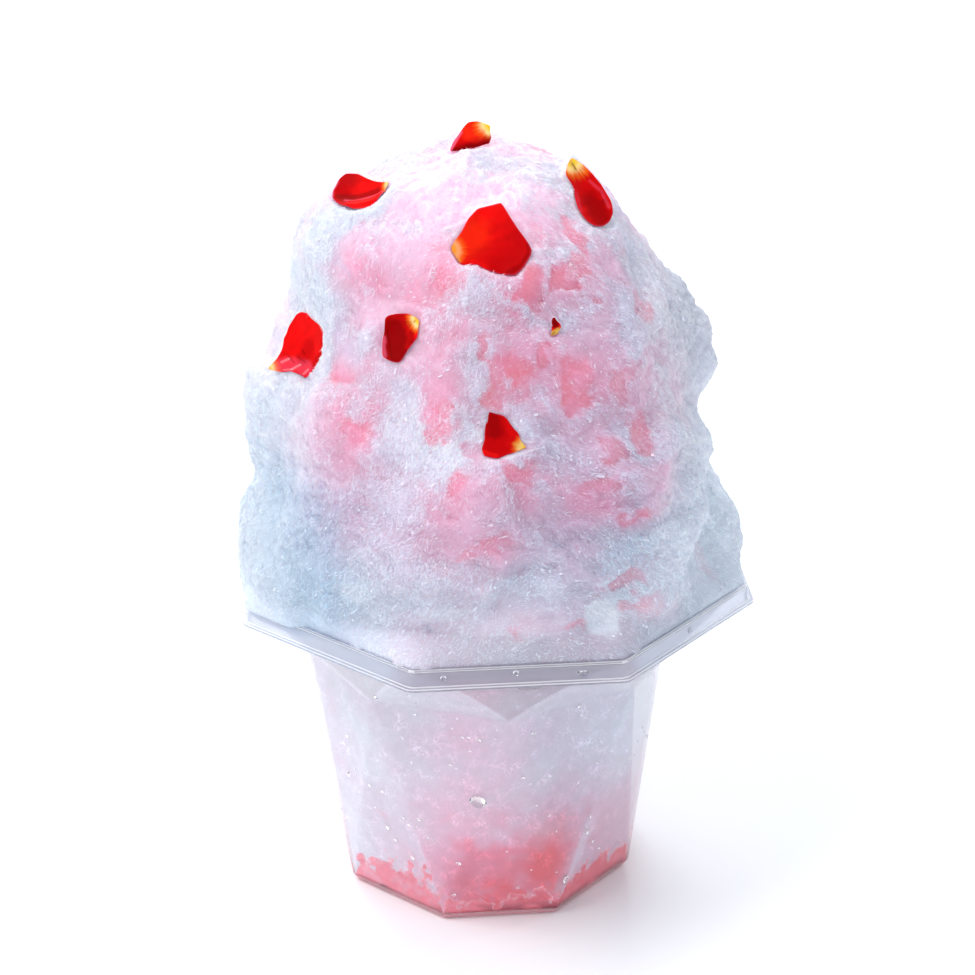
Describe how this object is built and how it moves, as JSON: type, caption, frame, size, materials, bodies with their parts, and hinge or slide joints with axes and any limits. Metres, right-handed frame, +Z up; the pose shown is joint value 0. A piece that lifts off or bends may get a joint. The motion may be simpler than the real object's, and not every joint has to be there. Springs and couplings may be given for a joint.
{
  "type": "kakigori in a clear plastic cup",
  "caption": "Tall heap of shaved ice with pink syrup and scattered rose petals, packed into a clear eight-sided plastic cup with a stepped rim.",
  "frame": {"origin": "centre of the cup's foot, on the surface it stands on", "axes": "+Z up the cup and the heap; -Y is the side seen from the front, where a flat side of the rim faces; +X to the right"},
  "size_m": [0.1202, 0.1202, 0.1889],
  "materials": {
    "clear_plastic": "clear, glossy",
    "syrup": "wet syrup-soaked ice",
    "ice": "sparkling shaved ice, tinted pink in the middle",
    "petal": "velvety rose petal"
  },
  "bodies": {
    "root": {"cup": "clear_plastic", "syrup": "syrup", "ice": "ice", "petal_top": "petal", "petal_left_top": "petal", "petal_right_top": "petal", "petal_large": "petal", "petal_left_edge": "petal", "petal_mid_left": "petal", "petal_scrap": "petal", "petal_low": "petal"}
  },
  "joints": []
}
